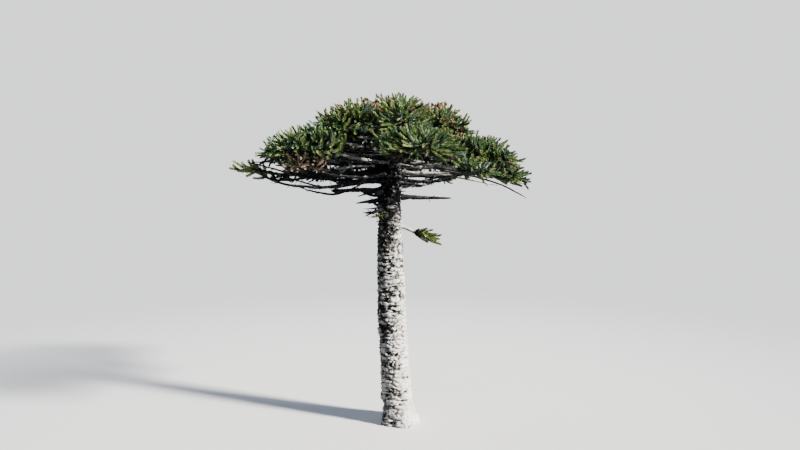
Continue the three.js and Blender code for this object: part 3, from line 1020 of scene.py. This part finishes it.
def leaf_arrays(shoots, hues, scale, density, rng):
    """The leaves of shoots, as vertices, triangles and each triangle's colour."""
    start, turn, end = (column(shoots, i) for i in range(3))
    length = np.linalg.norm(end - turn, axis=1) + np.linalg.norm(turn - start, axis=1)
    leafy = np.minimum(0.92 * length, rng.uniform(0.42, 0.72, len(shoots)))
    density *= LEAVES_PER_METRE * 1
    count = np.maximum(8, (leafy * density).astype(int))
    k = np.repeat(np.arange(len(shoots)), count)
    j = np.arange(len(k)) - np.repeat(np.cumsum(count) - count, count)
    part = (j + 0.5) / count[k]
    to_tip = (1 - part) * leafy[k]
    share = 1 - to_tip / length[k]
    curve = start[k], turn[k], end[k]
    at, along = bend(*curve, share), bend_way(*curve, share)
    side, over = ways_across(along, along)
    angle = (j * GOLDEN_ANGLE + 7.1 * k)[:, None]
    out = side * np.cos(angle) + over * np.sin(angle)

    # Each leaf is a folded kite that leans forwards, more so near the tip
    lean = np.interp(to_tip, LEAN_PLACES, LEANS) + rng.normal(0, 5, len(k))
    lean = np.radians(lean)[:, None]
    way = along * np.cos(lean) + out * np.sin(lean)
    across = np.cross(along, out)
    face = np.cross(across, way)
    year = 0.80 + 0.20 * np.abs(np.sin(math.pi * to_tip / YEAR_GROWTH + 0.5))
    size = year * np.interp(to_tip, [0, 0.06], [0.9, 1]) * rng.uniform(0.88, 1.08, len(k))
    size = scale * size[:, None]
    tall = LEAF_LENGTH * size
    wide = 0.5 * LEAF_WIDTH * size
    base = at + out * 0.6 * STEM_RADIUS
    left = base + way * 0.36 * tall + across * wide + face * 0.16 * wide
    right = base + way * 0.36 * tall - across * wide + face * 0.16 * wide
    point = base + way * tall - face * 0.10 * tall
    vertices = np.stack([base, left, point, right], 1).reshape(-1, 3)
    first = np.arange(len(k))[:, None] * 4
    faces = np.concatenate([first + (0, 1, 2), first + (0, 2, 3)], 1).reshape(-1, 3)
    return vertices, faces, np.repeat(leaf_hues(hues[k], part, to_tip, rng), 2)


def stems(curves, radii, end_radius, rings, sides):
    """Plain tubes along curves: their vertices, quads and end triangles."""
    start, turn, end = (column(curves, i)[:, None] for i in range(3))
    share = np.broadcast_to(np.linspace(0, 1, rings), (len(curves), rings))
    radii = np.reshape(radii, (-1, 1)) * (1 - share) + end_radius * share
    vertices, _ = tubes(bend(start, turn, end, share), radii, sides)
    return vertices.reshape(-1, 3), *tube_faces(len(curves), rings, sides)


def make_twigs(name, sprays, shoots, materials):
    """One piece of a mass's branches and green stems."""
    parts = [(1, stems(shoots, 1.1 * STEM_RADIUS, 0.006, 4, 4))]
    if sprays:
        parts.insert(0, (0, stems(sprays, column(sprays, 3), 0.012, 8, 6)))
    vertices, faces, material, count = [], [], [], 0
    for number, (places, quads, caps) in parts:
        vertices.append(places)
        faces += [quads + count, caps + count]
        material.append(np.full(len(quads) + len(caps), number))
        count += len(places)
    make_piece(name, np.concatenate(vertices), faces, materials, (), np.concatenate(material))


def make_cones(shoots, rng):
    """Upright scaly cones at the tips of shoots."""
    rings, sides = 8, 8
    starts, ways = [], []
    for _, turn, tip, _ in shoots:
        for _ in range(rng.integers(1, 4)):
            way = unit(unit(tip - turn) + (0, 0, 0.3) + rng.normal(0, 0.45, 3))
            starts.append(tip + rng.normal(0, 0.035, 3) - 0.12 * way)
            ways.append(way)
    starts, ways = np.array(starts)[:, None], np.array(ways)[:, None]
    size = rng.uniform(0.75, 1.2, len(starts))[:, None]
    share = np.linspace(0.0, 1.0, rings)
    paths = starts + ways * (share * CONE_LENGTH * size)[..., None]
    radii = CONE_RADIUS * size * np.sin(math.pi * np.clip(0.07 + 0.88 * share, 0, 1)) ** 0.6
    vertices, out = tubes(paths, radii, sides)
    scales = np.indices((rings, sides)).sum(0) % 2
    vertices = vertices + (0.16 * radii[:, :, None] * (scales - 0.5))[..., None] * out
    quads, caps = tube_faces(len(starts), rings, sides)
    kind = rng.integers(0, len(CONE_COLOURS), len(starts))
    material = np.concatenate([
        np.repeat(kind, (rings - 1) * sides), np.tile(np.repeat(kind, sides - 2), 2)
    ])
    colours = [plain_material(f"cone_{n}", c, 0.8) for n, c in enumerate(CONE_COLOURS)]
    make_piece("cones", vertices.reshape(-1, 3), [quads, caps], colours, (), material)


def make_crown(axes):
    """Every mass as leaves and twigs, and the cones."""
    leaves = [plain_material("leaf_" + n, c, 0.62 if "dry" in n else 0.38) for n, c in LEAF_COLOURS.items()]
    wood = [plain_material("twig_bark", TWIG_COLOUR, 0.85), plain_material("stem_green", STEM_COLOUR, 0.7)]
    trees = {}
    for name in MASSES:
        vertices, triangles = cad_mesh(name)
        trees[name] = BVHTree.FromPolygons(vertices.tolist(), triangles.tolist())
    bearing = []
    for number, name in enumerate([*MASSES, "foliage_shade", "foliage_gaps"]):
        rng = np.random.default_rng(SEED + number)
        if name in FANS:
            sprays, shoots = [], grow_fan(name, axes[name], trees, rng)
        elif name in MASSES:
            sprays, shoots = grow_mass(name, axes[name], trees, rng)
        else:
            sprays, shoots = grow_loose(name, axes, trees, rng)
        tips, upward = column(shoots, 2), column(shoots, 3)
        hues = shoot_hues(tips, upward, name, rng)
        bears = with_cones(tips, rng) & (upward > -0.5)
        bearing += [shoots[i] for i in np.nonzero(bears)[0]]
        hues[bears] = draw_hues(CONE_SHARES, bears.sum(), rng)
        scale, density = FANS[name][2] if name in FANS else (1, 1)
        vertices, faces, shade = leaf_arrays(shoots, hues, scale, density, rng)
        short = name[len("foliage_"):]
        replaced = [name] if name in MASSES else []
        make_piece("leaves_" + short, vertices, [faces], leaves, replaced, shade)
        make_twigs("twigs_" + short, sprays, shoots, wood)
    make_cones(bearing, np.random.default_rng(SEED))


# Light, floor and camera

def seen_or_light(tree, seen=BACKDROP, light=SKY_LIGHT):
    """One colour where a thing is seen, and a dimmer one where it only lights."""
    is_seen = add(tree, "ShaderNodeLightPath").outputs["Is Camera Ray"]
    return mixed(tree, is_seen, (*light, 1), (*seen, 1))


def make_floor():
    """A pale floor that fades into the backdrop's colour far from the tree."""
    mesh = bpy.data.meshes.new("floor")
    corners = [(x * FLOOR_SIZE, y * FLOOR_SIZE, 0) for x, y in ((-1, -1), (1, -1), (1, 1), (-1, 1))]
    mesh.from_pydata(corners, [], [(0, 1, 2, 3)])
    new_object("floor", mesh)
    material, tree, shader = new_material("floor_pale", 1, 0)
    mesh.materials.append(material)
    set_inputs(tree, shader, {"Base Color": seen_or_light(tree, FLOOR, FLOOR_LIGHT)})
    place = add(tree, "ShaderNodeTexCoord").outputs["Object"]
    distance = add(tree, "ShaderNodeVectorMath", {0: place}, operation="LENGTH").outputs["Value"]
    inputs = {"Value": distance, "From Min": FLOOR_FADE[0], "From Max": FLOOR_FADE[1]}
    fade = add(tree, "ShaderNodeMapRange", inputs, interpolation_type="SMOOTHSTEP").outputs["Result"]
    glow = add(tree, "ShaderNodeEmission", {"Color": seen_or_light(tree)}).outputs["Emission"]
    blend = add(tree, "ShaderNodeMixShader", {0: fade, 1: shader.outputs["BSDF"], 2: glow})
    set_inputs(tree, tree.nodes["Material Output"], {"Surface": blend.outputs["Shader"]})


def make_studio():
    world = bpy.data.worlds.new("studio")
    world.use_nodes = True
    tree = world.node_tree
    set_inputs(tree, tree.nodes["Background"], {"Color": seen_or_light(tree)})
    bpy.context.scene.world = world

    for name, azimuth, height, spread, strength in SUNS:
        sun = new_object(name, bpy.data.lights.new(name, "SUN"))
        sun.data.energy = strength
        sun.data.angle = math.radians(spread)
        sun.data.color = SUN_COLOUR
        azimuth, height = math.radians(azimuth), math.radians(height)
        sideways, forwards = math.sin(azimuth), -math.cos(azimuth)
        towards = Vector((sideways * math.cos(height), forwards * math.cos(height), math.sin(height)))
        sun.rotation_mode = "QUATERNION"
        sun.rotation_quaternion = towards.to_track_quat("Z", "Y")

    camera = new_object("camera", bpy.data.cameras.new("camera"))
    camera.data.lens = LENS
    camera.data.clip_end = 5 * FLOOR_SIZE
    camera.location = CAMERA_PLACE
    camera.rotation_euler = (math.radians(90 - CAMERA_DIP), 0, 0)
    bpy.context.scene.camera = camera


def main():
    make_studio()
    make_floor()
    make_trunk()
    lines = cad_limb_lines()
    axes = {}
    for name in BOUGHS:
        mass = name.replace("bough_", "foliage_")
        axes[mass] = through_mass(mass, lines[name])
    make_all_limbs(lines, axes)
    top = TRUNK_HEIGHTS[-1]
    axes["foliage_cap"] = np.array([[*trunk_at(top - below)[0], radius] for below, radius in CAP_STEM])
    make_crown(axes)


main()
